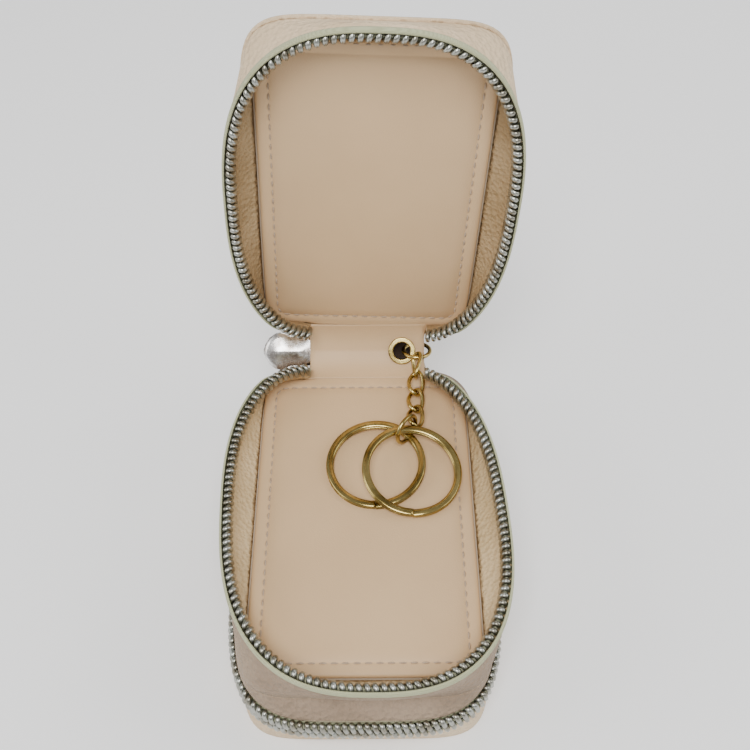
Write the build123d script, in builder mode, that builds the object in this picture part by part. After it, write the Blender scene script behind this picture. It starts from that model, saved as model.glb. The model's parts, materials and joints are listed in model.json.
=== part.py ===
from build123d import *
from math import cos, pi, radians, sin
import os

# Zip-around key case with a coin compartment behind it, lying open.
# Row frame in mm: origin under the middle of the coin cover, +X right, -Y towards the front edge.

# Trays: the key tray lies on top of the coin compartment, the lid stands on the same corner line
corner_y = 52.0
panel_z = 25.0
lid_lean = 4.2
lid_skew = 2.45
rim_lean = 3.0

# Rounded outlines, measured from the corner line: half width, back, front, power of the curve
cover_outline = (29.8, 6.0, 96.8, 6.5)
seam_outline = (29.5, 6.0, 96.3, 6.5)
rim_outline = (33.5, 8.0, 99.8, 2.6)
coin_zip_outline = (31.0, 5.0, 99.6, 4.0)
coin_cover_outline = (30.0, 6.0, 98.0, 6.5)
outline_centre = 56.0
outline_count = 48

# Leather and boards
wall = 1.1
board_gap = 1.3
cover_low = -3.0
cover_high = -1.9
panel_low = -1.1
wall_bend = 0.1
wall_high = 6.0
tape_high = 9.3
tape_thickness = 0.5
teeth_low = 7.7
teeth_high = 9.85
teeth_depth = 1.7
panel_width = 53.0
panel_back = 9.8
panel_front = 92.5
panel_radius = 5.5

# Coin compartment heights above the floor
coin_leather = 1.2
coin_board_top = 2.0
coin_lining_top = 2.5
coin_wall_low_top = 9.5
coin_zip_z = 13.0
coin_wall_high_low = 16.5
coin_row_gap = 0.45
coin_row_height = 2.5
coin_row_depth = 1.3
coin_lining_low = 21.4
seam_z = panel_z + cover_low

# Bridge strip, eyelet and chain
bridge_left = -14.7
bridge_right = 16.2
bridge_thickness = 1.0
eyelet_x = 10.1
eyelet_radius = 3.65
eyelet_hole = 2.3
wire = 1.1
link_length = 8.0
link_width = 4.7
link_gap = 0.1
jump_radius = 3.6
jump_x = 14.2
end_link_radius = 3.7
band_width = 1.9
band_height = 1.6
split_radius = 12.5

# Bisector frame of the corner: u points into the open case, v runs up from the base to the lid
half_open = radians(90 + lid_lean) / 2
u_dir = Vector(0, -cos(half_open), sin(half_open))
v_dir = Vector(0, sin(half_open), cos(half_open))
corner = Vector(0, corner_y, panel_z)

# Local frames: x across, y away from the corner line, z out of the panel
base_plane = Plane(origin=(0, corner_y, panel_z), x_dir=(-1, 0, 0), z_dir=(0, 0, 1))
lean = radians(lid_lean)
skew = radians(lid_skew)
lid_x = (cos(skew), -sin(skew) * sin(lean), -sin(skew) * cos(lean))
lid_plane = Plane(origin=(0, corner_y, panel_z), x_dir=lid_x, z_dir=(0, -cos(lean), sin(lean)))


def outline_points(outline, grow=0.0, lean_angle=0.0):
    """Points of a rounded outline, at even angles round its middle."""
    half_width, back, front, power = outline
    points = []
    for step in range(outline_count):
        angle = 2 * pi * step / outline_count
        across = half_width + grow
        along = front - outline_centre + grow if sin(angle) > 0 else outline_centre - back + grow
        x_unit = cos(angle)
        y_unit = sin(angle)
        spread = (abs(x_unit) ** power + abs(y_unit) ** power) ** (-1 / power)
        x = across * x_unit * spread
        y = along * y_unit * spread
        points.append((x - y * sin(radians(lean_angle)), outline_centre + y))
    return points


def outline_face(plane, outline, grow=0.0, lean_angle=0.0):
    """The rounded outline as a filled face on a plane."""
    with BuildSketch(plane) as face:
        with BuildLine():
            Spline(*outline_points(outline, grow, lean_angle), periodic=True)
        make_face()
    return face.sketch


def side_wall(plane, sections, lean_angle=0.0):
    """A leather wall through (height, outline) sections; only the last one leans."""
    with BuildPart() as made:
        for grow, mode in ((0.0, Mode.ADD), (-wall, Mode.SUBTRACT)):
            faces = []
            for height, outline in sections:
                tilt = lean_angle if outline is sections[-1][1] else 0.0
                faces.append(outline_face(plane.offset(height), outline, grow, tilt).face())
            loft(faces, ruled=True, mode=mode)
    return made.part


def band(plane, low, high, outline, outer, inner, lean_angle=0.0):
    """A flat band between two heights, that follows an outline."""
    with BuildPart() as made:
        extrude(outline_face(plane.offset(low), outline, outer, lean_angle), amount=high - low)
        hollow = outline_face(plane.offset(low), outline, inner, lean_angle)
        extrude(hollow, amount=high - low, mode=Mode.SUBTRACT)
    return made.part


def sheet(plane, low, high, outline, grow=0.0):
    """A flat sheet with a rounded outline."""
    with BuildPart() as made:
        extrude(outline_face(plane.offset(low), outline, grow), amount=high - low)
    return made.part


def panel(plane):
    """The padded inner panel of a tray, with softened edges."""
    with BuildPart() as made:
        with BuildSketch(plane.offset(panel_low)) as face:
            with Locations((0, (panel_back + panel_front) / 2)):
                RectangleRounded(panel_width, panel_front - panel_back, panel_radius)
        extrude(amount=-panel_low)
        fillet(made.faces().sort_by(Axis(plane.origin, plane.z_dir))[-1].edges(), 0.5)
    return made.part


# Solid that clears the walls where they sink towards the corner, and the gap behind the bridge
rim_slope = ((-5, 1.2), (5.5, 1.2), (17.5, 10.2), (17.5, 30), (-5, 30))
window = 0.7


def sink_cutter(plane, side, window_low):
    """Everything above the sloping wall end, and the window that the bridge runs through."""
    across = Plane(origin=plane.origin, x_dir=plane.y_dir, z_dir=plane.x_dir)
    flip = 1 if (across.y_dir.dot(plane.z_dir)) > 0 else -1
    with BuildPart() as made:
        with BuildSketch(across):
            with BuildLine():
                Polyline(*[(t, flip * n) for t, n in rim_slope], close=True)
            make_face()
        extrude(amount=60, both=True)
        middle = side * (bridge_left + bridge_right) / 2
        with BuildSketch(plane.offset(window_low)):
            with Locations((middle, 2)):
                Rectangle(bridge_right - bridge_left + 2 * window, 28)
        extrude(amount=40)
    return made.part


base_cutter = sink_cutter(base_plane, -1, -0.9)
lid_cutter = sink_cutter(lid_plane, 1, -0.9)

# ---------------------------------------------------------------- lid
with BuildPart() as lid_cover:
    add(sheet(lid_plane, cover_low, cover_high, cover_outline))
with BuildPart() as lid_board:
    add(sheet(lid_plane, cover_high, panel_low, seam_outline, -board_gap))
with BuildPart() as lid_panel:
    add(panel(lid_plane))
with BuildPart() as lid_gusset:
    add(side_wall(lid_plane, ((cover_high, seam_outline), (wall_bend, seam_outline),
                              (wall_high, rim_outline))))
    add(lid_cutter, mode=Mode.SUBTRACT)
with BuildPart() as lid_tape:
    add(band(lid_plane, wall_high, tape_high, rim_outline, 0, -tape_thickness))
    add(lid_cutter, mode=Mode.SUBTRACT)
with BuildPart() as lid_teeth:
    outer = -tape_thickness - 0.05
    add(band(lid_plane, teeth_low, teeth_high, rim_outline, outer, outer - teeth_depth))
    add(lid_cutter, mode=Mode.SUBTRACT)

# ---------------------------------------------------------------- key tray
with BuildPart() as divider_board:
    add(sheet(base_plane, cover_low, panel_low, seam_outline, -board_gap))
with BuildPart() as base_panel:
    add(panel(base_plane))
with BuildPart() as base_gusset:
    add(side_wall(base_plane, ((cover_low, seam_outline), (wall_bend, seam_outline),
                               (wall_high, rim_outline)), rim_lean))
    add(base_cutter, mode=Mode.SUBTRACT)
with BuildPart() as base_tape:
    add(band(base_plane, wall_high, tape_high, rim_outline, 0, -tape_thickness, rim_lean))
    add(base_cutter, mode=Mode.SUBTRACT)
with BuildPart() as base_teeth:
    outer = -tape_thickness - 0.05
    add(band(base_plane, teeth_low, teeth_high, rim_outline, outer, outer - teeth_depth, rim_lean))
    add(base_cutter, mode=Mode.SUBTRACT)

# ---------------------------------------------------------------- coin compartment
floor_plane = Plane(origin=(0, corner_y, 0), x_dir=(-1, 0, 0), z_dir=(0, 0, 1))
with BuildPart() as coin_cover:
    add(sheet(floor_plane, 0, coin_leather, coin_cover_outline))
with BuildPart() as coin_board:
    add(sheet(floor_plane, coin_leather, coin_board_top, coin_cover_outline, -board_gap))
with BuildPart() as coin_lining:
    add(sheet(floor_plane, coin_board_top, coin_lining_top, coin_cover_outline, -board_gap - 0.3))
with BuildPart() as coin_lower_wall:
    add(side_wall(floor_plane, ((coin_leather, coin_cover_outline),
                                (coin_wall_low_top, coin_zip_outline))))
with BuildPart() as coin_upper_wall:
    add(side_wall(floor_plane, ((coin_wall_high_low, coin_zip_outline), (seam_z, seam_outline))))
with BuildPart() as coin_roof_lining:
    add(sheet(floor_plane, coin_lining_low, seam_z, seam_outline, -board_gap))

# The coin zipper stops short of the middle of the back
coin_spine_half = 21.5
with BuildPart() as back_cutter:
    with BuildSketch(Plane.XY):
        with Locations((0, corner_y - 4)):
            Rectangle(2 * coin_spine_half + 1, 14)
    extrude(amount=panel_z)

with BuildPart() as coin_lower_tape:
    add(band(floor_plane, coin_wall_low_top, coin_zip_z - 0.3, coin_zip_outline, 0, -tape_thickness))
    add(back_cutter.part, mode=Mode.SUBTRACT)
with BuildPart() as coin_upper_tape:
    add(band(floor_plane, coin_zip_z + 0.3, coin_wall_high_low, coin_zip_outline, 0, -tape_thickness))
    add(back_cutter.part, mode=Mode.SUBTRACT)
with BuildPart() as coin_lower_teeth:
    row_top = coin_zip_z - coin_row_gap
    add(band(floor_plane, row_top - coin_row_height, row_top, coin_zip_outline, coin_row_depth, 0.05))
    add(back_cutter.part, mode=Mode.SUBTRACT)
with BuildPart() as coin_upper_teeth:
    row_low = coin_zip_z + coin_row_gap
    add(band(floor_plane, row_low, row_low + coin_row_height, coin_zip_outline, coin_row_depth, 0.05))
    add(back_cutter.part, mode=Mode.SUBTRACT)
with BuildPart() as coin_spine:
    with BuildSketch(Plane.YZ.offset(-coin_spine_half)):
        with BuildLine():
            Line((47.3, 4.0), (47.3, 20.0))
            Line((47.3, 20.0), (48.1, 19.4))
            ThreePointArc((48.1, 19.4), (48.5, coin_zip_z), (48.1, 4.6))
            Line((48.1, 4.6), (47.3, 4.0))
        make_face()
    extrude(amount=2 * coin_spine_half)

# ---------------------------------------------------------------- spine between key tray and lid
bridge_bend = panel_back / cos(half_open) * sin(half_open)
spine_plane = Plane(origin=(0, corner_y, panel_z), x_dir=tuple(u_dir), z_dir=(1, 0, 0))
spine_sign = 1 if spine_plane.y_dir.dot(v_dir) > 0 else -1


def spine_point(u, v):
    """A point of the corner section, in the sketch plane that looks along +X."""
    return (u, spine_sign * v)


def tray_point(t, n, side):
    """A point t from the corner along a panel and n above it: side -1 is the base, 1 the lid."""
    return spine_point(t * cos(half_open) + n * sin(half_open), side * (t * sin(half_open) - n * cos(half_open)))


bend_centre_u = panel_back / cos(half_open)


bridge_gap = 5.5


def bend_arc(radius, side):
    """End point of the bridge's bend, just short of a panel edge."""
    turn = side * (pi / 2 - half_open - radians(bridge_gap))
    return spine_point(bend_centre_u - radius * cos(turn), radius * sin(turn))


with BuildPart() as spine_liner:
    front_radius = bridge_bend
    back_radius = bridge_bend + bridge_thickness
    with BuildSketch(spine_plane.offset(bridge_left)):
        with BuildLine():
            ThreePointArc(bend_arc(front_radius, -1), spine_point(bend_centre_u - front_radius, 0),
                          bend_arc(front_radius, 1))
            Line(bend_arc(front_radius, 1), bend_arc(back_radius, 1))
            ThreePointArc(bend_arc(back_radius, 1), spine_point(bend_centre_u - back_radius, 0),
                          bend_arc(back_radius, -1))
            Line(bend_arc(back_radius, -1), bend_arc(front_radius, -1))
        make_face()
    extrude(amount=bridge_right - bridge_left)
    bridge_u = bend_centre_u - bridge_bend
    eyelet_plane = Plane(origin=corner + u_dir * (bridge_u + 1.6) + Vector(eyelet_x, 0, 0),
                         x_dir=(1, 0, 0), z_dir=tuple(u_dir))
    with BuildSketch(eyelet_plane):
        Circle(eyelet_hole + 0.4)
    extrude(amount=-6, mode=Mode.SUBTRACT)

with BuildPart() as outer_spine:
    with BuildSketch(spine_plane.offset(bridge_left)):
        with BuildLine():
            ThreePointArc(tray_point(4.9, -2.6, -1), spine_point(-3.0, 0), tray_point(4.9, -2.6, 1))
            Line(tray_point(4.9, -2.6, 1), tray_point(4.6, -3.8, 1))
            ThreePointArc(tray_point(4.6, -3.8, 1), spine_point(-4.0, 0), tray_point(4.6, -3.8, -1))
            Line(tray_point(4.6, -3.8, -1), tray_point(4.9, -2.6, -1))
        make_face()
    extrude(amount=bridge_right - bridge_left)

# Eyelet: front flange and barrel in one piece, rolled over a washer behind the bridge
flange_low = bridge_u + 0.62
with BuildPart() as eyelet:
    flange_plane = Plane(origin=corner + u_dir * flange_low + Vector(eyelet_x, 0, 0),
                         x_dir=(1, 0, 0), z_dir=tuple(u_dir))
    with BuildSketch(flange_plane):
        Circle(eyelet_radius)
        Circle(eyelet_hole, mode=Mode.SUBTRACT)
    extrude(amount=0.7)
    with BuildSketch(flange_plane):
        Circle(eyelet_hole + 0.35)
        Circle(eyelet_hole, mode=Mode.SUBTRACT)
    extrude(amount=-1.9)
    fillet(eyelet.edges().filter_by(GeomType.CIRCLE).group_by(Axis(flange_plane.origin, u_dir))[-1], 0.3)
with BuildPart() as eyelet_washer:
    washer_plane = Plane(origin=corner + u_dir * (flange_low - 2.0) + Vector(eyelet_x, 0, 0),
                         x_dir=(1, 0, 0), z_dir=tuple(u_dir))
    with BuildSketch(washer_plane):
        Circle(eyelet_radius)
        Circle(eyelet_hole + 0.37, mode=Mode.SUBTRACT)
    extrude(amount=0.3)

# ---------------------------------------------------------------- chain


def wire_ring(centre, normal, radius, thickness):
    """A round ring of round wire."""
    with BuildPart() as made:
        ring_plane = Plane(origin=centre, z_dir=normal)
        side_plane = Plane(origin=ring_plane.origin + ring_plane.x_dir * radius,
                           x_dir=ring_plane.x_dir, z_dir=ring_plane.y_dir)
        with BuildSketch(side_plane):
            Circle(thickness / 2)
        revolve(axis=Axis(ring_plane.origin, ring_plane.z_dir))
    return made.part


def chain_link(centre, along, roll):
    """An oval link of round wire, rolled about the line of the chain."""
    across = Vector(0, 0, 1).cross(along).normalized()
    upward = along.cross(across)
    half_length = (link_length - wire) / 2
    half_width = (link_width - wire) / 2
    points = []
    for step in range(link_points):
        angle = 2 * pi * step / link_points
        spread = (abs(cos(angle)) ** link_power + abs(sin(angle)) ** link_power) ** (-1 / link_power)
        x = half_length * cos(angle) * spread
        y = half_width * sin(angle) * spread
        turn = radians(roll)
        points.append(centre + along * x + across * (y * cos(turn)) + upward * (y * sin(turn)))
    with BuildPart() as made:
        with BuildLine():
            path = Spline(*points, periodic=True)
        with BuildSketch(Plane(origin=path @ 0, z_dir=path % 0)):
            Circle(wire / 2)
        sweep()
    return made.part


bridge_mid = corner + u_dir * (bridge_u - bridge_thickness / 2)
jump_front = Vector(0, -0.95, 0.31).normalized()
jump_centre = Vector(jump_x, bridge_mid.Y, bridge_mid.Z)
with BuildPart() as jump_ring:
    add(wire_ring(jump_centre, jump_front.cross(Vector(1, 0, 0)), jump_radius, wire))

link_pitch = link_length - 2 * wire - link_gap
link_slopes = (-12, -3, 3, 12)
link_turns = (-4, -3, -3, -2)
link_rolls = (90, 15, -65, 20)
link_points = 24
link_power = 2.7
contact = jump_centre + jump_front * jump_radius + Vector(0, (wire + link_gap) / 2, 0.1)
contact_points = [contact]
link_parts = []
for slope, turn, roll in zip(link_slopes, link_turns, link_rolls):
    direction = Vector(sin(radians(turn)), -cos(radians(turn)) * cos(radians(slope)), sin(radians(slope)))
    direction = direction.normalized()
    link_parts.append(chain_link(contact + direction * (link_pitch / 2), direction, roll))
    contact = contact + direction * link_pitch
    contact_points.append(contact)

# End link: stands on edge through both split rings, where they cross
left_centre = Vector(2.9, 13.6, 0)
right_centre = Vector(11.7, 10.8, 0)
band_middle = split_radius - band_width / 2
left_slope = Vector(0.628, 0.778, 0) * 0.068
left_low = panel_z + 0.1 + split_radius * left_slope.length
right_slope = Vector(-0.122, 0.101, 0)
right_low = panel_z + 2.36
end_hook = contact - direction * ((wire + link_gap) / 2)
toward_hook = Vector(0.628, 0.741, -0.236).normalized()
end_link_centre = end_hook - toward_hook * end_link_radius
lean_over = Vector(0.776, -0.618, 0.126)
end_link_normal = (lean_over - toward_hook * lean_over.dot(toward_hook)).normalized()
with BuildPart() as end_link:
    add(wire_ring(end_link_centre, end_link_normal, end_link_radius, wire))


def split_ring(centre, low, slope):
    """Two turns of flat wire, one on the other, as one closed ring with a groove between them."""
    normal = Vector(-slope.X, -slope.Y, 1).normalized()
    middle = Vector(centre.X, centre.Y, low) + normal * (band_height / 2)
    ring_plane = Plane(origin=middle, z_dir=normal)
    side_plane = Plane(origin=ring_plane.origin, x_dir=ring_plane.x_dir, z_dir=-ring_plane.y_dir)
    inner = split_radius - band_width
    half = band_height / 2
    groove = 0.12
    with BuildPart() as made:
        with BuildSketch(side_plane):
            with BuildLine():
                Polyline((inner + 0.25, half), (split_radius - 0.25, half), (split_radius, half - 0.25),
                         (split_radius, groove), (split_radius - groove, 0), (split_radius, -groove),
                         (split_radius, 0.25 - half), (split_radius - 0.25, -half), (inner + 0.25, -half),
                         (inner, 0.25 - half), (inner, -groove), (inner + groove, 0), (inner, groove),
                         (inner, half - 0.25), close=True)
            make_face()
        revolve(axis=Axis(ring_plane.origin, ring_plane.z_dir))
    return made.part


with BuildPart() as split_ring_left:
    add(split_ring(left_centre, left_low, left_slope))
with BuildPart() as split_ring_right:
    add(split_ring(right_centre, right_low, right_slope))

# ---------------------------------------------------------------- sliders


def slider_plate(place, low, width, tail):
    """One nosed plate of a slider, 1 mm thick. place: x towards the nose."""
    half = width / 2
    with BuildPart() as made:
        with BuildSketch(place.offset(low)):
            with BuildLine():
                Polyline((-tail, -0.8 * half), (-1.2, -0.84 * half), (0.4, -half), (2.4, -0.92 * half))
                ThreePointArc((2.4, -0.92 * half), (4.9, -0.56 * half), (6.8, 0))
                ThreePointArc((6.8, 0), (4.9, 0.56 * half), (2.4, 0.92 * half))
                Polyline((2.4, 0.92 * half), (0.4, half), (-1.2, 0.84 * half), (-tail, 0.8 * half),
                         (-tail, -0.8 * half))
            make_face()
        extrude(amount=plate)
    return made.part


def slider_body(place, inner_low, outer_high, inner_width, inner_tail, half_gap):
    """A slider: inner and outer plate on one web, and a bridge for the pull on the outer plate."""
    with BuildPart() as made:
        add(slider_plate(place, inner_low, inner_width, inner_tail))
        add(slider_plate(place, outer_high - plate, 10.0, 5.6))
        with BuildSketch(place.offset(inner_low + plate / 2)):
            with Locations((3.2, 0)):
                RectangleRounded(3.4, 2 * half_gap, half_gap * 0.9)
        extrude(amount=outer_high - inner_low - plate)
        with BuildSketch(place.offset(outer_high - 0.2)):
            with Locations((-2.4, 0), (2.4, 0)):
                Rectangle(1.0, 2.2)
        extrude(amount=bridge_rise + 0.4)
        with BuildSketch(place.offset(outer_high + bridge_rise)):
            Rectangle(5.8, 2.2)
        extrude(amount=0.8)
    return made.part


def pull_tab(place, length):
    """A slim pull, its root bar under the slider's bridge. place: x along the tab, from the pivot."""
    with BuildPart() as made:
        with BuildSketch(place.offset(-0.5)):
            with Locations((length / 2 - 0.5, 0)):
                RectangleRounded(length, 5.6, 0.5)
            with Locations((2.5, 0)):
                Rectangle(3.8, 3.0, mode=Mode.SUBTRACT)
            with Locations((length - 4.0, 0)):
                SlotOverall(4.0, 2.0, mode=Mode.SUBTRACT)
        extrude(amount=1.0)
        outer_face = made.faces().sort_by(Axis(place.origin, place.z_dir))[-1]
        fillet(outer_face.outer_wire().edges(), 0.2)
    return made.part


plate = 1.0
bridge_rise = 1.8
top_slider_x = -20.6
top_place = Plane(origin=corner + Vector(top_slider_x, 0, 0), x_dir=(-1, 0, 0), z_dir=tuple(u_dir * -1))
with BuildPart() as top_slider:
    add(slider_body(top_place, -2.5, 1.7, 10.0, 7.4, 1.2))
top_pivot = corner + Vector(top_slider_x, 0, 0) - u_dir * (1.7 + bridge_rise / 2)
with BuildPart() as top_pull:
    add(pull_tab(Plane(origin=top_pivot, x_dir=tuple(u_dir * -1), z_dir=(1, 0, 0)), 12.0))

coin_slider_y = 12.0
coin_face_x = coin_zip_outline[0] + coin_row_depth
coin_place = Plane(origin=(coin_face_x, coin_slider_y, coin_zip_z), x_dir=(0, 1, 0), z_dir=(1, 0, 0))
coin_outer = 0.3 + plate
with BuildPart() as coin_slider:
    add(slider_body(coin_place, -3.1, coin_outer, 6.2, 5.6, 0.22))
coin_pivot = Vector(coin_face_x + coin_outer + bridge_rise / 2, coin_slider_y, coin_zip_z)
with BuildPart() as coin_pull:
    add(pull_tab(Plane(origin=coin_pivot, x_dir=(0, -1, 0), z_dir=(1, 0, 0)), 16.0))

# ---------------------------------------------------------------- write every piece
pieces = {
    "lid_cover": lid_cover,
    "lid_board": lid_board,
    "lid_panel": lid_panel,
    "lid_gusset": lid_gusset,
    "lid_tape": lid_tape,
    "lid_teeth": lid_teeth,
    "divider_board": divider_board,
    "base_panel": base_panel,
    "base_gusset": base_gusset,
    "base_tape": base_tape,
    "base_teeth": base_teeth,
    "coin_cover": coin_cover,
    "coin_board": coin_board,
    "coin_lining": coin_lining,
    "coin_lower_wall": coin_lower_wall,
    "coin_upper_wall": coin_upper_wall,
    "coin_roof_lining": coin_roof_lining,
    "coin_lower_tape": coin_lower_tape,
    "coin_upper_tape": coin_upper_tape,
    "coin_lower_teeth": coin_lower_teeth,
    "coin_upper_teeth": coin_upper_teeth,
    "coin_spine": coin_spine,
    "spine_liner": spine_liner,
    "outer_spine": outer_spine,
    "eyelet": eyelet,
    "eyelet_washer": eyelet_washer,
    "jump_ring": jump_ring,
    "end_link": end_link,
    "split_ring_left": split_ring_left,
    "split_ring_right": split_ring_right,
    "top_slider": top_slider,
    "top_pull": top_pull,
    "coin_slider": coin_slider,
    "coin_pull": coin_pull,
}
os.makedirs("parts", exist_ok=True)
for piece_name, piece in pieces.items():
    piece.part.label = piece_name
    export_step(piece.part, f"parts/{piece_name}.step")
for number, link in enumerate(link_parts, start=1):
    link.label = f"chain_link_{number}"
    export_step(link, f"parts/chain_link_{number}.step")

for number, point in enumerate(contact_points):
    print("pivot", number, round(point.X, 3), round(point.Y, 3), round(point.Z, 3))
for name, point in (("end link", end_link_centre), ("jump ring", jump_centre), ("end hook", end_hook),
                    ("top pull", top_pivot), ("coin pull", coin_pivot)):
    print(name, round(point.X, 3), round(point.Y, 3), round(point.Z, 3))
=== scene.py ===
import json
import math

import bmesh
import bpy
from mathutils import Matrix, Vector


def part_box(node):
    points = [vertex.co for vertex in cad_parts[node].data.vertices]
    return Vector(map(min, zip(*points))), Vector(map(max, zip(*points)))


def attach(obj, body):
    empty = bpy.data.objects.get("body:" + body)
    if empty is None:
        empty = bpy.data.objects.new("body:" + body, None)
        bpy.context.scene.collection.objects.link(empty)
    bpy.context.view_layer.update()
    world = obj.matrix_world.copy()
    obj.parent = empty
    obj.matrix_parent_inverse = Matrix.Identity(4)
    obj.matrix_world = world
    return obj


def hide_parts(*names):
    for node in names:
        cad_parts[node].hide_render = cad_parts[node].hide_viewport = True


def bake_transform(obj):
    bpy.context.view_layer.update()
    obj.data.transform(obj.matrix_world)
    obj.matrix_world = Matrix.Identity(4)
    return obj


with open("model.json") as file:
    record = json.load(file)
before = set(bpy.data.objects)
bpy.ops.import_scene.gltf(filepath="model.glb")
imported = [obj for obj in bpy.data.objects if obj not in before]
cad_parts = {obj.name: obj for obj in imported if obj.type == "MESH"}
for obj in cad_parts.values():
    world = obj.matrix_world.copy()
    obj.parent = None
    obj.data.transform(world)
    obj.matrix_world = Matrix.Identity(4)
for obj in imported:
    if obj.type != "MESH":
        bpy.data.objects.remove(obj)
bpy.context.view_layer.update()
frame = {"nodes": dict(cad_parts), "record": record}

# ---------------------------------------------------------------- sizes, in mm unless said otherwise
MM = 0.001
CORNER = Vector((0.0, 52.0, 25.0))
LEAN = math.radians(4.2)
SKEW = math.radians(2.45)
RIM_LEAN = math.sin(math.radians(3.0))
CENTRE = 56.0
SEAM = (29.5, 6.0, 96.3, 6.5)
COVER = (29.8, 6.0, 96.8, 6.5)
RIM = (33.5, 8.0, 99.8, 2.6)
FOOT = (26.9, 9.4, 92.9, 12.0)
COIN_ZIP = (31.0, 5.0, 99.6, 4.0)
COIN_COVER = (30.0, 6.0, 98.0, 6.5)
COIN_ZIP_Z = 13.0
BRIDGE_LEFT = -14.7
BRIDGE_RIGHT = 16.2
PANEL_BACK = 9.8
PANEL_FRONT = 92.5
PANEL_WIDTH = 53.0
PANEL_RADIUS = 5.5
STITCH_INSET = 3.1
PITCH = 1.75
UP_LID = Vector((0, math.sin(LEAN), math.cos(LEAN)))
LID_X = Vector((1, 0, 0)) * math.cos(SKEW) - UP_LID * math.sin(SKEW)
LID_T = UP_LID * math.cos(SKEW) + Vector((1, 0, 0)) * math.sin(SKEW)
LID_N = Vector((0, -math.cos(LEAN), math.sin(LEAN)))
HALF_OPEN = (math.pi / 2 + LEAN) / 2
U_DIR = Vector((0, -math.cos(HALF_OPEN), math.sin(HALF_OPEN)))
V_DIR = Vector((0, math.sin(HALF_OPEN), math.cos(HALF_OPEN)))


def on_base(x, t, n):
    """A point of the key tray: x across, t from the corner line, n above the panel."""
    return Vector((x, CORNER.y - t, CORNER.z + n))


def on_lid(x, t, n):
    """The same for the lid."""
    return CORNER + LID_X * x + LID_T * t + LID_N * n


def on_floor(x, t, z):
    """A point of the coin compartment: z above the floor."""
    return Vector((x, CORNER.y - t, z))


def outline(shape, angle, grow=0.0):
    """x and t of a rounded outline; the angle runs from the right side towards the front."""
    half_width, back, front, power = shape
    across = half_width + grow
    along = (front - CENTRE if math.sin(angle) > 0 else CENTRE - back) + grow
    spread = (abs(math.cos(angle)) ** power + abs(math.sin(angle)) ** power) ** (-1 / power)
    return across * math.cos(angle) * spread, CENTRE + along * math.sin(angle) * spread


def sunk(t, high):
    """Height of the rim: it sinks in a soft curve towards the corner."""
    slope = 1.0 + 0.78 * (t - 5.5)
    blend = 1.2
    return 0.5 * (high + slope - math.sqrt((high - slope) ** 2 + blend ** 2))


def bridge_angle(limit, side):
    """Outline angle at which the rim reaches the edge of the bridge."""
    low = math.radians(-89.9) if side > 0 else math.radians(-90.1)
    high = math.radians(-30) if side > 0 else math.radians(-150)
    for _ in range(40):
        mid = (low + high) / 2
        if abs(outline(RIM, mid)[0]) < limit:
            low = mid
        else:
            high = mid
    return low


def rim_angles(steps, lean):
    """Angles round the rim, from the bridge's right edge by the front to its left edge."""
    shift = 48 * RIM_LEAN if lean else 0.0
    first = bridge_angle(BRIDGE_RIGHT + shift + 0.3, 1)
    last = bridge_angle(-BRIDGE_LEFT - shift + 0.3, -1) + 2 * math.pi
    return [first + (last - first) * i / steps for i in range(steps + 1)]


# ---------------------------------------------------------------- materials
def material(name, colour, rough, metal=0.0):
    made = bpy.data.materials.new(name)
    made.use_nodes = True
    shader = made.node_tree.nodes["Principled BSDF"]
    shader.inputs["Base Color"].default_value = (*colour, 1)
    shader.inputs["Roughness"].default_value = rough
    shader.inputs["Metallic"].default_value = metal
    return made


def noise(tree, scale, detail=4.0):
    coords = tree.nodes.new("ShaderNodeTexCoord")
    made = tree.nodes.new("ShaderNodeTexNoise")
    made.inputs["Scale"].default_value = scale
    made.inputs["Detail"].default_value = detail
    tree.links.new(coords.outputs["Object"], made.inputs["Vector"])
    return made.outputs["Fac"]


def voronoi(tree, scale, feature="F1"):
    coords = tree.nodes.new("ShaderNodeTexCoord")
    made = tree.nodes.new("ShaderNodeTexVoronoi")
    made.feature = feature
    made.inputs["Scale"].default_value = scale
    tree.links.new(coords.outputs["Object"], made.inputs["Vector"])
    return made.outputs["Distance"]


def waves(tree, scale, direction):
    coords = tree.nodes.new("ShaderNodeTexCoord")
    made = tree.nodes.new("ShaderNodeTexWave")
    made.bands_direction = direction
    made.inputs["Scale"].default_value = scale
    made.inputs["Distortion"].default_value = 0.6
    tree.links.new(coords.outputs["Object"], made.inputs["Vector"])
    return made.outputs["Fac"]


def mix_sum(tree, first, second, weight):
    made = tree.nodes.new("ShaderNodeMath")
    made.operation = "MULTIPLY_ADD"
    made.inputs[1].default_value = weight
    tree.links.new(second, made.inputs[0])
    tree.links.new(first, made.inputs[2])
    return made.outputs[0]


def ramp(tree, source, low, high, start=0.3, stop=0.7):
    made = tree.nodes.new("ShaderNodeValToRGB")
    made.color_ramp.elements[0].position = start
    made.color_ramp.elements[0].color = (*low, 1)
    made.color_ramp.elements[1].position = stop
    made.color_ramp.elements[1].color = (*high, 1)
    tree.links.new(source, made.inputs[0])
    return made.outputs[0]


def bump(tree, source, strength, distance):
    made = tree.nodes.new("ShaderNodeBump")
    made.inputs["Strength"].default_value = strength
    made.inputs["Distance"].default_value = distance
    tree.links.new(source, made.inputs["Height"])
    tree.links.new(made.outputs[0], tree.nodes["Principled BSDF"].inputs["Normal"])


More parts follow.
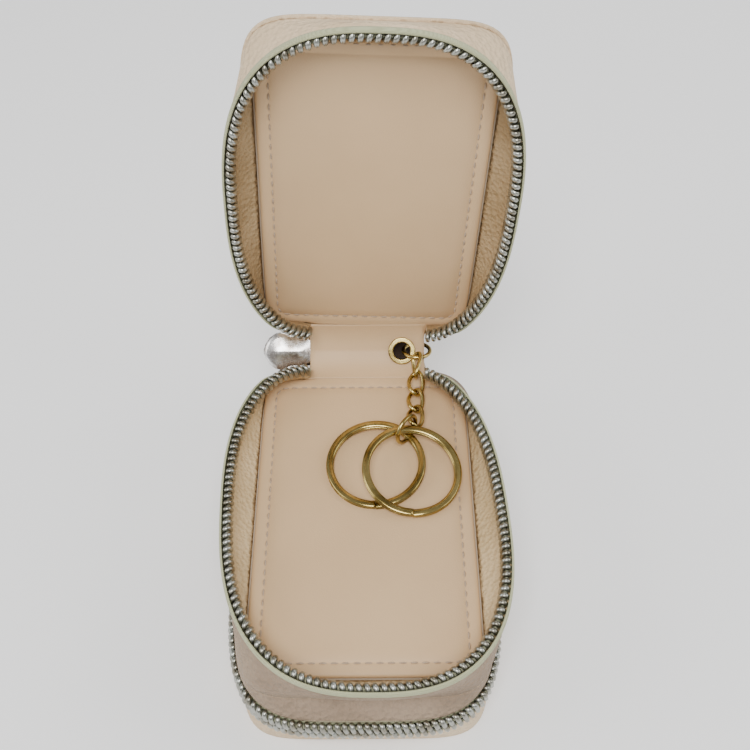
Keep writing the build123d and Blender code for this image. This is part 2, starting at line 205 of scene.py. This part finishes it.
def leather(name, dark, light, rough, pebble, depth):
    """Leather: blotchy colour, pebbles of the given scale per metre, and fine pores."""
    made = material(name, light, rough)
    tree = made.node_tree
    shader = tree.nodes["Principled BSDF"]
    tree.links.new(ramp(tree, noise(tree, 55, 6), dark, light), shader.inputs["Base Color"])
    height = mix_sum(tree, voronoi(tree, pebble), noise(tree, pebble * 3, 5), 0.35)
    bump(tree, height, 0.55, depth)
    rough_noise = tree.nodes.new("ShaderNodeMapRange")
    rough_noise.inputs["To Min"].default_value = rough - 0.06
    rough_noise.inputs["To Max"].default_value = rough + 0.08
    tree.links.new(noise(tree, 140, 4), rough_noise.inputs["Value"])
    tree.links.new(rough_noise.outputs[0], shader.inputs["Roughness"])
    shader.inputs["Specular IOR Level"].default_value = 0.35
    return made


def cloth(name, dark, light, thread_scale, depth):
    """Woven tape or lining: crossing threads, from two sets of waves."""
    made = material(name, light, 0.85)
    tree = made.node_tree
    shader = tree.nodes["Principled BSDF"]
    weave = mix_sum(tree, waves(tree, thread_scale, "DIAGONAL"), waves(tree, thread_scale, "Z"), 0.8)
    weave = mix_sum(tree, weave, noise(tree, thread_scale * 2, 3), 0.6)
    tree.links.new(ramp(tree, weave, dark, light, 0.5, 2.2), shader.inputs["Base Color"])
    bump(tree, weave, 0.6, depth)
    shader.inputs["Sheen Weight"].default_value = 0.15
    return made


def metal(name, dark, light, rough, wear_scale):
    """Plated metal: tarnish in blotches and fine rub marks."""
    made = material(name, light, rough, 1.0)
    tree = made.node_tree
    shader = tree.nodes["Principled BSDF"]
    colour = ramp(tree, noise(tree, wear_scale, 6), dark, light, 0.35, 0.6)
    tree.links.new(colour, shader.inputs["Base Color"])
    rough_map = tree.nodes.new("ShaderNodeMapRange")
    rough_map.inputs["To Min"].default_value = rough - 0.08
    rough_map.inputs["To Max"].default_value = rough + 0.15
    tree.links.new(noise(tree, wear_scale * 3, 5), rough_map.inputs["Value"])
    tree.links.new(rough_map.outputs[0], shader.inputs["Roughness"])
    bump(tree, noise(tree, wear_scale * 8, 3), 0.15, 0.00004)
    return made


OUTER = leather("pebbled_leather", (0.66, 0.49, 0.30), (0.78, 0.61, 0.41), 0.55, 800, 0.0012)
GUSSET = leather("lid_gusset_leather", (0.33, 0.215, 0.10), (0.48, 0.34, 0.185), 0.6, 900, 0.001)
BASE_GUSSET = leather("base_gusset_leather", (0.54, 0.39, 0.20), (0.72, 0.54, 0.31), 0.6, 900, 0.001)
INNER = leather("smooth_leather", (0.63, 0.43, 0.24), (0.66, 0.455, 0.255), 0.45, 2600, 0.00004)
# Wall leather darkened as painted shade: its darker tone stands in for the shadow under the rim's overhang,
# not for a darker hide.
SHADE_DARKENED_WALL = leather("wall_leather_painted_shade", (0.25, 0.175, 0.115), (0.38, 0.28, 0.195), 0.6, 800, 0.0016)
TAPE = cloth("zip_tape", (0.33, 0.34, 0.17), (0.52, 0.53, 0.32), 1500, 0.0002)
CORD = cloth("coil_cord", (0.27, 0.26, 0.16), (0.42, 0.42, 0.28), 3000, 0.0001)
LINING = cloth("lining_cloth", (0.45, 0.36, 0.25), (0.6, 0.5, 0.37), 1800, 0.0001)
COIL = metal("coil_plating", (0.24, 0.22, 0.17), (0.42, 0.43, 0.39), 0.28, 300)
BRASS = metal("antique_brass", (0.25, 0.18, 0.055), (0.52, 0.40, 0.15), 0.17, 160)
NICKEL = metal("nickel_plating", (0.40, 0.35, 0.31), (0.86, 0.84, 0.82), 0.22, 420)
STEEL = metal("washer_steel", (0.3, 0.28, 0.25), (0.55, 0.53, 0.5), 0.4, 300)
BOARD = material("board_fibre", (0.45, 0.36, 0.26), 0.9)
bump(BOARD.node_tree, noise(BOARD.node_tree, 1500, 5), 0.4, 0.0001)
# Near-black cloth for the inside of the outer spine: painted shade, a dark sheet standing in for the shadow
# in the cavity behind the eyelet.
SPINE_CAVITY_PAINTED_SHADE = cloth("spine_inside_painted_shade", (0.03, 0.018, 0.01), (0.06, 0.035, 0.02), 2400, 0.0001)
THREAD = cloth("sewing_thread", (0.36, 0.25, 0.16), (0.58, 0.44, 0.31), 5000, 0.00008)


# ---------------------------------------------------------------- mesh helpers
def mesh_object(name, points, faces, finish, smooth=True):
    data = bpy.data.meshes.new(name)
    data.from_pydata([Vector(p) * MM for p in points], [], faces)
    data.validate()
    tidy = bmesh.new()
    tidy.from_mesh(data)
    bmesh.ops.recalc_face_normals(tidy, faces=tidy.faces)
    tidy.to_mesh(data)
    tidy.free()
    data.polygons.foreach_set("use_smooth", [smooth] * len(data.polygons))
    data.materials.append(finish)
    made = bpy.data.objects.new(name, data)
    bpy.context.scene.collection.objects.link(made)
    return made


def lofted(name, rows, finish, closed_rows, cap=False):
    """Skin over rows of points. closed_rows joins each row's ends; cap closes the first and last."""
    width = len(rows[0])
    points = [p for row in rows for p in row]
    faces = []
    for r in range(len(rows) - 1):
        for c in range(width if closed_rows else width - 1):
            d = (c + 1) % width
            faces.append((r * width + c, r * width + d, (r + 1) * width + d, (r + 1) * width + c))
    if cap:
        faces.append(tuple(range(width)))
        faces.append(tuple(range((len(rows) - 1) * width, len(rows) * width)))
    return mesh_object(name, points, faces, finish)


def thick_band(name, inner_rows, outer_rows, finish, closed):
    """A band with an inner and an outer skin, joined along every edge."""
    loop = outer_rows + inner_rows[::-1]
    rows = [list(column) for column in zip(*loop)]
    if closed:
        rows.append(rows[0])
        made = lofted(name, rows[:-1], finish, True)
        data = made.data
        edit = bmesh.new()
        edit.from_mesh(data)
        edit.verts.ensure_lookup_table()
        width = len(rows[0])
        last = (len(rows) - 2) * width
        for c in range(width):
            d = (c + 1) % width
            edit.faces.new([edit.verts[i] for i in (c, d, last + d, last + c)])
        bmesh.ops.recalc_face_normals(edit, faces=edit.faces)
        edit.to_mesh(data)
        edit.free()
        data.polygons.foreach_set("use_smooth", [True] * len(data.polygons))
        return made
    return lofted(name, rows, finish, True, cap=True)


def beside_bridge(x, t):
    """x moved outwards, where needed, so that a wall ends beside the bridge instead of under it."""
    if t > CENTRE:
        return x
    limit = BRIDGE_RIGHT if x > 0 else -BRIDGE_LEFT
    excess = abs(x) - limit
    return math.copysign(limit + 0.5 * (excess + math.sqrt(excess * excess + 0.25)), x)


def wall_piece(name, place, low_n, low_shape, high_n, high_shape, finishes, angles, lean, bulge, foot=None):
    """A leather wall between two outlines, slightly bowed. A foot leads it in to the edge of the panel.

    finishes is the finish of the inside and the finish of the outside."""
    skins = []
    for inward in (0.0, 1.0):
        rows = []
        if inward and foot:
            for n in (low_n, -1.05):
                edge = [outline(low_shape, angle, -inward) for angle in angles]
                rows.append([place(beside_bridge(x, t), t, n) for x, t in edge])
        for i in range(9):
            s = i / 8
            row = []
            for angle in angles:
                x0, t0 = outline(low_shape, angle, -inward)
                n0 = low_n
                if inward and foot:
                    x0, t0 = outline(foot, angle)
                    n0 = -1.05
                x1, t1 = outline(high_shape, angle, -inward)
                if lean:
                    x1 += (t1 - CENTRE) * RIM_LEAN
                top = sunk(t1, high_n) if foot else high_n
                ease = s * s * (3 - 2 * s) * 0.6 + s * 0.4
                if inward and foot:
                    ease = math.sin(math.pi * s / 2) ** 1.2
                swell = 1 + bulge * math.sin(math.pi * s) / 30
                n = n0 + (top - n0) * (s ** 1.25 if inward and foot else s)
                x = (x0 + (x1 - x0) * ease) * swell
                t = CENTRE + (t0 + (t1 - t0) * ease - CENTRE) * swell
                if foot:
                    x = beside_bridge(x, t)
                row.append(place(x, t, n))
            rows.append(row)
        skins.append(rows)
    made = thick_band(name, skins[1], skins[0], finishes[0], len(angles) == FULL_STEPS)
    made.data.materials.append(finishes[1])
    section = len(skins[0]) + len(skins[1])
    for face in made.data.polygons:
        face.material_index = 1 if face.index % section < len(skins[0]) - 1 else 0
    return made


FULL_STEPS = 180
FULL = [2 * math.pi * i / FULL_STEPS for i in range(FULL_STEPS)]


def sheet_piece(name, place, shape, low, high, finish, crown):
    """A flat sheet with rolled edges and a slight crown on its outer side, which is at low."""
    mid = (low + high) / 2
    profile = ((0.6, high), (0.1, high), (0.0, mid), (0.1, low + 0.15), (0.5, low), (1.6, low - crown * 0.4),
               (6.0, low - crown * 0.8), (16.0, low - crown), (26.0, low - crown))
    rows = []
    for inset, n in profile:
        rows.append([place(*outline(shape, angle, -inset), n) for angle in FULL])
    return lofted(name, rows, finish, True, cap=True)


def rounded_rect(inset, count=14):
    """Corner-arced rectangle of the inner panel, as x and t points."""
    half = PANEL_WIDTH / 2 - inset
    low = PANEL_BACK + inset
    high = PANEL_FRONT - inset
    radius = max(PANEL_RADIUS - inset, 0.8)
    points = []
    for cx, ct, start in ((half - radius, high - radius, 0), (radius - half, high - radius, 90),
                          (radius - half, low + radius, 180), (half - radius, low + radius, 270)):
        for i in range(count + 1):
            a = math.radians(start + 90 * i / count)
            points.append((cx + radius * math.cos(a), ct + radius * math.sin(a)))
    return points


def resampled(points, count):
    """The closed outline as evenly spaced points."""
    lengths = [0.0]
    closed = points + [points[0]]
    for a, b in zip(closed, closed[1:]):
        lengths.append(lengths[-1] + math.dist(a, b))
    result = []
    spot = 0
    for i in range(count):
        want = lengths[-1] * i / count
        while lengths[spot + 1] < want:
            spot += 1
        part = (want - lengths[spot]) / (lengths[spot + 1] - lengths[spot])
        a, b = closed[spot], closed[spot + 1]
        result.append((a[0] + (b[0] - a[0]) * part, a[1] + (b[1] - a[1]) * part))
    return result


def joined(x):
    """1 where a panel runs on into the bridge, 0 to the sides of it, eased between."""
    inside = min(x - BRIDGE_LEFT, BRIDGE_RIGHT - x) / 1.5 + 0.5
    inside = min(max(inside, 0.0), 1.0)
    return inside * inside * (3 - 2 * inside)


def panel_piece(name, place):
    """Stitched padded panel: rolled edge, dip along the stitches, soft crown in the middle."""
    profile = ((0.9, -1.1), (0.1, -1.1), (0.0, -0.7), (0.15, -0.3), (0.5, -0.06), (1.2, 0.04), (2.5, 0.02),
               (STITCH_INSET - 0.25, -0.16), (STITCH_INSET, -0.24), (STITCH_INSET + 0.25, -0.16), (3.9, 0.05),
               (6.0, 0.2), (11.0, 0.32), (18.0, 0.38), (24.0, 0.4))
    rows = []
    for inset, n in profile:
        ring = resampled(rounded_rect(inset), 160)
        row = []
        for x, t in ring:
            level = n
            if t < PANEL_BACK + 2.5 and n > -1.0:
                level = n * (1 - joined(x))
            row.append(place(x, t, level + 0.05 * math.sin(x * 0.5 + t * 0.21) * (1 - joined(x))))
        rows.append(row)
    return lofted(name, rows, INNER, True, cap=True)


def stitches(name, place, reach):
    """Short thread stitches that dip into the panel; reach carries them on towards the far edge."""
    ring = [(x, t + (reach if t > CENTRE else 0.0)) for x, t in rounded_rect(STITCH_INSET)]
    ring = resampled(ring, 96)
    points = []
    faces = []
    for i, (x, t) in enumerate(ring):
        x2, t2 = ring[(i + 1) % len(ring)]
        for k in range(5):
            s = 0.12 + 0.66 * k / 4
            rise = -0.34 + 0.30 * math.sin(math.pi * k / 4)
            fat = 0.17 + 0.06 * math.sin(math.pi * k / 4)
            middle = place(x + (x2 - x) * s, t + (t2 - t) * s, rise)
            side = (place(x + (t2 - t), t - (x2 - x), rise) - place(x, t, rise)).normalized()
            up = (place(x, t, 1) - place(x, t, 0)).normalized()
            for j in range(6):
                a = math.pi / 3 * j
                points.append(middle + side * fat * math.cos(a) + up * fat * math.sin(a))
        first = i * 30
        for k in range(4):
            for j in range(6):
                n = (j + 1) % 6
                a = first + k * 6
                faces.append((a + j, a + n, a + 6 + n, a + 6 + j))
        faces.append(tuple(first + j for j in range(6)))
        faces.append(tuple(first + 24 + j for j in range(6)))
    return mesh_object(name, points, faces, THREAD)


def tube(name, path, radius, finish, closed, sides=7):
    """A tube of constant radius along a path."""
    rows = []
    count = len(path)
    normal = None
    for i, p in enumerate(path):
        ahead = path[(i + 1) % count] if closed or i < count - 1 else p
        behind = path[i - 1] if closed or i > 0 else p
        along = (ahead - behind).normalized()
        if normal is None:
            normal = along.orthogonal().normalized()
        normal = (normal - along * normal.dot(along)).normalized()
        other = along.cross(normal)
        row = []
        for j in range(sides):
            a = 2 * math.pi * j / sides
            row.append(p + (normal * math.cos(a) + other * math.sin(a)) * radius)
        rows.append(row)
    if closed:
        rows.append(rows[0])
        return thick_band_ring(name, rows[:-1], finish)
    return lofted(name, rows, finish, True, cap=True)


def thick_band_ring(name, rows, finish):
    """Rows of closed sections, the last joined back to the first with the least twist."""
    width = len(rows[0])
    shift = min(range(width), key=lambda k: (rows[-1][0] - rows[0][k]).length)
    points = [p for row in rows for p in row]
    faces = []
    for r in range(len(rows)):
        follow = (r + 1) % len(rows)
        turn = shift if follow == 0 else 0
        for c in range(width):
            d = (c + 1) % width
            faces.append((r * width + c, r * width + d, follow * width + (d + turn) % width,
                          follow * width + (c + turn) % width))
    return mesh_object(name, points, faces, finish)


def coil(name, centre_line, outward, upward, pitch, wide, tall, phase=0.0):
    """Zipper coil: flattened turns of wire along a line."""
    lengths = [0.0]
    for a, b in zip(centre_line, centre_line[1:]):
        lengths.append(lengths[-1] + (b - a).length)
    turns = int(lengths[-1] / pitch)
    path = []
    spot = 0
    per_turn = 10
    for i in range(turns * per_turn):
        want = lengths[-1] * i / (turns * per_turn)
        while lengths[spot + 1] < want:
            spot += 1
        part = (want - lengths[spot]) / (lengths[spot + 1] - lengths[spot])
        middle = centre_line[spot].lerp(centre_line[spot + 1], part)
        out = outward[spot].lerp(outward[spot + 1], part).normalized()
        up = upward[spot].lerp(upward[spot + 1], part).normalized()
        a = 2 * math.pi * (i / per_turn) + phase
        path.append(middle + out * wide * math.cos(a) + up * tall * math.sin(a))
    return tube(name, path, 0.66, COIL, False, 8)


def show(made, body, *nodes, slot=None):
    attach(made, body)
    if nodes:
        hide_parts(*nodes)
    return made


# ---------------------------------------------------------------- lid and key tray
def rim_rows(place, angles, lean):
    """Middle line of the zipper row on a rim, with its outward and upward directions."""
    line, outs, ups = [], [], []
    for angle in angles:
        x, t = outline(RIM, angle, -1.4)
        x2, t2 = outline(RIM, angle, 0.0)
        shift = (t - CENTRE) * RIM_LEAN if lean else 0.0
        n = sunk(t, 7.85)
        line.append(place(x + shift, t, n))
        outs.append((place(x2 + shift, t2, n) - place(x + shift, t, n)).normalized())
        ups.append((place(x, t, 1) - place(x, t, 0)).normalized())
    return line, outs, ups


def tray(prefix, body, place, lean, low_n, finishes, reach):
    angles = rim_angles(170, lean)
    wall = wall_piece(f"{prefix}_wall", place, low_n, SEAM, 7.2, RIM, finishes, angles, lean, 0.35, FOOT)
    show(wall, body, f"{prefix}_gusset", slot="outer_leather")
    rows_out, rows_in = [], []
    for n, out in ((7.7, 0.15), (7.8, 0.35), (8.3, 0.4), (8.9, 0.35), (9.3, 0.3), (9.5, 0.1)):
        for rows, inset in ((rows_out, -out), (rows_in, 0.35 - out)):
            row = []
            for angle in angles:
                x, t = outline(RIM, angle, -inset)
                if lean:
                    x += (t - CENTRE) * RIM_LEAN
                row.append(place(x, t, sunk(t, 9.6) - (9.6 - n)))
            rows.append(row)
    tape = thick_band(f"{prefix}_zip_tape", rows_in, rows_out, TAPE, False)
    show(tape, body, f"{prefix}_tape", slot="zip_tape")
    line, outs, ups = rim_rows(place, angles, lean)
    teeth = coil(f"{prefix}_coil", line, outs, ups, PITCH, 0.8, 1.45)
    show(teeth, body, f"{prefix}_teeth", slot="zip_teeth")
    show(tube(f"{prefix}_coil_core", line, 0.62, CORD, False), body)
    pad = panel_piece(f"{prefix}_pad", place)
    show(pad, body, f"{prefix}_panel", slot="inner_leather")
    show(stitches(f"{prefix}_stitches", place, reach), body)


# The key tray's outer wall wears the leather darkened as painted shade.
tray("base", "key_tray", on_base, True, -2.8, (BASE_GUSSET, SHADE_DARKENED_WALL), 0.0)
tray("lid", "lid", on_lid, False, -1.9, (GUSSET, OUTER), 2.4)
show(sheet_piece("lid_back_leather", on_lid, COVER, -3.0, -1.9, OUTER, 0.35), "lid", "lid_cover",
     slot="outer_leather")

# ---------------------------------------------------------------- coin compartment
show(sheet_piece("coin_back_leather", on_floor, COIN_COVER, 0.0, 1.2, OUTER, 0.0), "coin_case", "coin_cover",
     slot="outer_leather")
lower_wall = wall_piece("coin_lower_leather", on_floor, 0.9, COIN_COVER, 9.6, COIN_ZIP,
                        (OUTER, OUTER), FULL, False, 0.2)
show(lower_wall, "coin_case", "coin_lower_wall", slot="outer_leather")
# The outside of the upper coin wall wears the leather darkened as painted shade, standing in for the rim's
# shadow.
upper_wall = wall_piece("coin_upper_leather", on_floor, 16.4, COIN_ZIP, 22.1, SEAM,
                        (OUTER, SHADE_DARKENED_WALL), FULL, False, 0.25)
show(upper_wall, "key_tray", "coin_upper_wall", slot="outer_leather")
ZIP_GAP = math.radians(24)
zip_angles = [-math.pi / 2 + ZIP_GAP + (2 * math.pi - 2 * ZIP_GAP) * i / 170 for i in range(171)]
for side, body in (("lower", "coin_case"), ("upper", "key_tray")):
    sign = -1 if side == "lower" else 1
    rows_out, rows_in = [], []
    for away in (0.35, 1.5, 2.7, 3.9):
        for rows, inset in ((rows_out, 0.05), (rows_in, 0.5)):
            height = COIN_ZIP_Z + sign * away
            rows.append([on_floor(*outline(COIN_ZIP, a, -inset), height) for a in zip_angles])
    tape = thick_band(f"coin_{side}_zip_tape", rows_in, rows_out, TAPE, False)
    show(tape, body, f"coin_{side}_tape", slot="zip_tape")
    line = [on_floor(*outline(COIN_ZIP, a, 0.55), COIN_ZIP_Z + sign * 1.6) for a in zip_angles]
    outs = [(on_floor(*outline(COIN_ZIP, a, 1.0), 0) - on_floor(*outline(COIN_ZIP, a, 0), 0)).normalized()
            for a in zip_angles]
    ups = [Vector((0, 0, 1))] * len(zip_angles)
    row = coil(f"coin_{side}_coil", line, outs, ups, 1.65, 0.6, 1.3, 0.0 if side == "lower" else math.pi)
    show(row, body, f"coin_{side}_teeth", slot="zip_teeth")
    show(tube(f"coin_{side}_coil_core", line, 0.5, CORD, False), body)


# ---------------------------------------------------------------- spine pieces
def section_strip(name, arc_points, thickness, left, right, finish):
    """A strip bent along a line in the corner's section; each entry is u and v."""
    count = len(arc_points)
    rows_front, rows_back = [], []
    for i, (u, v) in enumerate(arc_points):
        before = arc_points[max(i - 1, 0)]
        after = arc_points[min(i + 1, count - 1)]
        du, dv = after[0] - before[0], after[1] - before[1]
        size = math.hypot(du, dv)
        nu, nv = dv / size, -du / size
        for rows, depth in ((rows_front, 0.0), (rows_back, thickness)):
            row = []
            flare = 1.1 * math.exp(-min(i, count - 1 - i) / 1.6)
            for k in range(25):
                x = left - flare + (right - left + 2 * flare) * k / 24
                edge = 0.12 if k in (0, 24) and depth == 0 else 0.0
                point = CORNER + U_DIR * (u - nu * (depth + edge)) + V_DIR * (v - nv * (depth + edge))
                row.append(point + Vector((x, 0, 0)))
            rows.append(row)
    return thick_band(name, rows_back, rows_front, finish, False)


BEND = PANEL_BACK * math.tan(HALF_OPEN)
BEND_U = PANEL_BACK / math.cos(HALF_OPEN)
bend_half = math.pi / 2 - HALF_OPEN
arc = []
for i in range(31):
    a = bend_half * (2 * i / 30 - 1)
    dip = 0.12 * math.exp(-(a / 0.06) ** 2)
    arc.append((BEND_U - (BEND + dip) * math.cos(a), (BEND + dip) * math.sin(a)))
bridge = section_strip("bridge_leather", arc, 1.0, BRIDGE_LEFT, BRIDGE_RIGHT, INNER)
eyelet_low, eyelet_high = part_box("eyelet")
eyelet_middle = (Vector(eyelet_low) + Vector(eyelet_high)) / 2
bpy.ops.mesh.primitive_cylinder_add(vertices=48, radius=2.65 * MM, depth=9 * MM, location=eyelet_middle)
punch = bpy.context.object
punch.rotation_mode = "QUATERNION"
punch.rotation_quaternion = U_DIR.to_track_quat("Z", "Y")
cut = bridge.modifiers.new("hole", "BOOLEAN")
cut.object = punch
cut.solver = "EXACT"
bpy.context.view_layer.update()
pierced = bpy.data.meshes.new_from_object(bridge.evaluated_get(bpy.context.evaluated_depsgraph_get()))
bridge.modifiers.clear()
bridge.data = pierced
bpy.data.objects.remove(punch)
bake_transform(bridge)
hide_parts("spine_liner")

back_arc = []
for i in range(25):
    s = 2 * i / 24 - 1
    back_arc.append((-3.4 + 4.6 * s * s, 5.6 * s))
spine_back = section_strip("spine_back_leather", back_arc, 1.0, BRIDGE_LEFT, BRIDGE_RIGHT, OUTER)
# Faces turned inwards get the near-black painted shade of the cavity behind the eyelet.
spine_back.data.materials.append(SPINE_CAVITY_PAINTED_SHADE)
for face in spine_back.data.polygons:
    if face.normal.dot(U_DIR) > 0.3:
        face.material_index = 1
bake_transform(spine_back)
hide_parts("outer_spine")

COIN_HINGE_Y = 47.6
rows_out, rows_in = [], []
for i in range(21):
    z = 3.8 + 16.4 * i / 20
    swell = math.sin(math.pi * i / 20)
    for rows, y in ((rows_out, COIN_HINGE_Y - 0.3 + 1.3 * swell ** 0.5), (rows_in, COIN_HINGE_Y - 0.35)):
        rows.append([Vector((-21.5 + 43.0 * k / 30, y, z)) for k in range(31)])
coin_back = thick_band("coin_spine_leather", rows_in, rows_out, OUTER, False)
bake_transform(coin_back)
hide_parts("coin_spine")


# ---------------------------------------------------------------- chain links
def curb_link(name, first, second, roll, length, width, wire, twist):
    """A twisted curb link: its two ends stand at right angles to each other."""
    middle = (first + second) / 2
    along = (second - first).normalized()
    across = Vector((0, 0, 1)).cross(along).normalized()
    upward = along.cross(across)
    path = []
    for i in range(48):
        a = 2 * math.pi * i / 48
        spread = (abs(math.cos(a)) ** 2.6 + abs(math.sin(a)) ** 2.6) ** (-1 / 2.6)
        x = (length - wire) / 2 * math.cos(a) * spread
        y = (width - wire) / 2 * math.sin(a) * spread
        turn = math.radians(roll + twist * 2 * x / (length - wire))
        path.append(middle + along * x + (across * math.cos(turn) + upward * math.sin(turn)) * y)
    return tube(name, path, wire / 2, BRASS, True, 12)


pivots = {}
for joint in frame["record"]["behaviour"]["joints"]:
    if joint["type"] == "hinge":
        pivots[joint["name"]] = Vector(joint["pos_m"]) / MM
links = ("chain_link_1", "chain_link_2", "chain_link_3", "chain_link_4", "end_link")
for number, (here, following) in enumerate(zip(links, links[1:])):
    first = pivots[f"{here}_swing"]
    second = pivots[f"{following}_swing"]
    roll = 68 if number == 0 else 0
    twist = 22 if number == 0 else -40
    link = curb_link(f"curb_link_{number + 1}", first, second, roll, 8.0, 4.8, 1.1, twist)
    show(link, here, here, slot="antique_brass")

def split_ring(name, low, slope_x, slope_y):
    """A key ring of two flat turns of wire: one step where they change over, and two blunt ends."""
    corner_low, corner_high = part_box(low)
    centre = (Vector(corner_low) + Vector(corner_high)) / 2 / MM
    normal = Vector((-slope_x, -slope_y, 1)).normalized()
    first = Vector((1, 0, 0)).cross(normal).normalized()
    second = normal.cross(first)
    rows = []
    steps = 192
    for i in range(steps + 1):
        a = 4 * math.pi * i / steps
        change = min(max((a - 2 * math.pi) / 0.35, -1), 1)
        height = 0.41 * math.sin(change * math.pi / 2)
        out = first * math.cos(a) + second * math.sin(a)
        row = []
        for j in range(12):
            b = 2 * math.pi * j / 12
            spread = (abs(math.cos(b)) ** 3 + abs(math.sin(b)) ** 3) ** (-1 / 3)
            across = 11.55 + 0.93 * math.cos(b) * spread
            row.append(centre + out * across + normal * (height + 0.39 * math.sin(b) * spread))
        rows.append(row)
    return lofted(name, rows, BRASS, True, cap=True)


show(split_ring("key_ring_left", "split_ring_left", 0.628 * 0.068, 0.778 * 0.068), "split_ring_left",
     "split_ring_left", slot="antique_brass")
show(split_ring("key_ring_right", "split_ring_right", -0.122, 0.101), "split_ring_right",
     "split_ring_right", slot="antique_brass")


def ridged_plate(name, edge, low, rise):
    """A plate in the corner's section plane with a ridge along the middle; edge is x and v points."""
    rows = []
    for scale, u in ((0.93, low), (1.0, low + 0.2), (1.0, low + 0.55), (0.95, low + 0.8),
                     (0.7, low + 0.86 + rise * 0.3), (0.35, low + 0.9 + rise * 0.65),
                     (0.03, low + 0.95 + rise)):
        row = []
        for x, v in edge:
            pulled = SLIDER_X + (x - SLIDER_X) * (0.5 + 0.5 * scale if scale < 0.9 else 0.97 + 0.03 * scale)
            row.append(CORNER + U_DIR * u + V_DIR * v * scale + Vector((pulled, 0, 0)))
        rows.append(row)
    return lofted(name, rows, NICKEL, True, cap=True)


SLIDER_X = -20.6
half_edge = ((-27.5, 0.4), (-27.0, 2.0), (-26.0, 3.6), (-24.4, 4.8), (-22.8, 5.2), (-21.6, 4.9), (-20.8, 4.3),
             (-20.0, 4.05), (-18.0, 4.0), (-13.4, 4.0))
plate_edge = list(half_edge) + [(x, -v) for x, v in reversed(half_edge)]
show(ridged_plate("slider_top_plate", plate_edge, 1.9, 0.75), "top_slider")

# ---------------------------------------------------------------- CAD pieces with their finish
finishes = {
    "lid_board": BOARD, "divider_board": BOARD, "coin_board": BOARD, "coin_lining": LINING,
    "coin_roof_lining": LINING, "eyelet": BRASS, "eyelet_washer": STEEL, "jump_ring": BRASS,
    "end_link": BRASS, "top_slider": NICKEL,
    "top_pull": NICKEL, "coin_slider": NICKEL, "coin_pull": NICKEL,
}
for name, finish in finishes.items():
    for slot in frame["nodes"][name].material_slots:
        slot.material = finish

# ---------------------------------------------------------------- floor, light and camera
floor_mesh = bpy.data.meshes.new("floor")
floor_mesh.from_pydata([(-3, -3, 0), (3, -3, 0), (3, 3, 0), (-3, 3, 0)], [], [(0, 1, 2, 3)])
floor = bpy.data.objects.new("floor", floor_mesh)
bpy.context.scene.collection.objects.link(floor)
floor_finish = material("pale_floor", (0.98, 0.98, 0.98), 0.9)
floor_mesh.materials.append(floor_finish)

world = bpy.data.worlds.new("studio")
bpy.context.scene.world = world
world.use_nodes = True
world.node_tree.nodes["Background"].inputs[0].default_value = (1, 1, 1, 1)
world.node_tree.nodes["Background"].inputs[1].default_value = 0.42


def area_light(name, place, target, size, power):
    data = bpy.data.lights.new(name, "AREA")
    data.size = size
    data.energy = power
    made = bpy.data.objects.new(name, data)
    made.location = place
    made.rotation_mode = "QUATERNION"
    made.rotation_quaternion = (Vector(place) - Vector(target)).to_track_quat("Z", "Y")
    bpy.context.scene.collection.objects.link(made)


area_light("key_light", (-0.04, -0.38, 0.78), (0, 0, 0.04), 0.42, 6.4)
area_light("left_light", (-0.7, -0.1, 0.4), (0, 0, 0.04), 0.5, 2.3)
area_light("right_light", (0.7, 0.0, 0.45), (0, 0, 0.04), 0.5, 2.2)
area_light("back_light", (0.1, 0.6, 0.6), (0, 0, 0.04), 0.4, 1.9)

PITCH_DOWN = math.radians(51.9)
YAW = math.radians(0.17)
ROLL = math.radians(-0.25)
ahead = Vector((math.sin(YAW) * math.cos(PITCH_DOWN), math.cos(YAW) * math.cos(PITCH_DOWN),
                -math.sin(PITCH_DOWN)))
right = ahead.cross(Vector((0, 0, 1))).normalized()
up = right.cross(ahead)
right, up = right * math.cos(ROLL) + up * math.sin(ROLL), up * math.cos(ROLL) - right * math.sin(ROLL)
camera_data = bpy.data.cameras.new("camera")
camera_data.lens = 48.0
camera_data.sensor_width = 36.0
camera_data.clip_start = 0.01
camera = bpy.data.objects.new("camera", camera_data)
camera.matrix_world = Matrix.Translation(Vector((2.32, -123.54, 237.71)) * MM) @ Matrix(
    (right, up, -ahead)).transposed().to_4x4()
bpy.context.scene.collection.objects.link(camera)
bpy.context.scene.camera = camera
